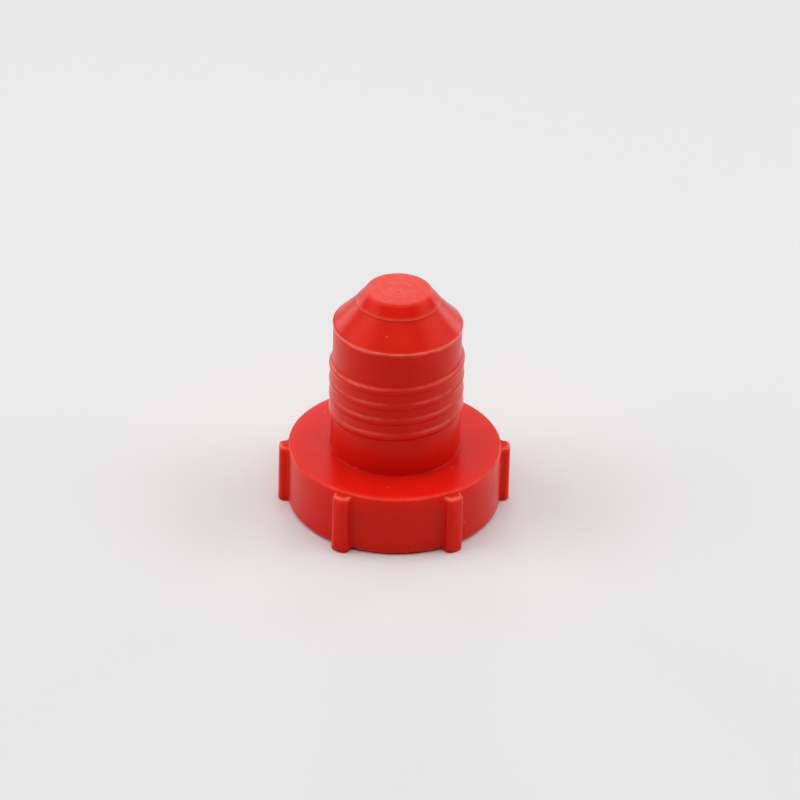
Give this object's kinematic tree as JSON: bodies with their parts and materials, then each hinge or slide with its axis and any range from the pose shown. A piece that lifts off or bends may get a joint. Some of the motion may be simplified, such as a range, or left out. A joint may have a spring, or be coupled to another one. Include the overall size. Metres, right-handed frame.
{
  "type": "threaded plug",
  "caption": "Moulded plastic threaded plug with a lugged round hub, a shallow external thread and a closed conical nose, for shutting a threaded port.",
  "frame": {"origin": "on the plug's axis, at the underside of the hub, which the plug stands on", "axes": "+Z along the plug's axis towards the tip of the nose; +X through one grip lug"},
  "size_m": [0.0206, 0.019, 0.0212],
  "materials": {
    "red_polyethylene": "satin moulded polyethylene, opaque red"
  },
  "bodies": {
    "root": {"threaded_plug": "red_polyethylene"}
  },
  "joints": []
}
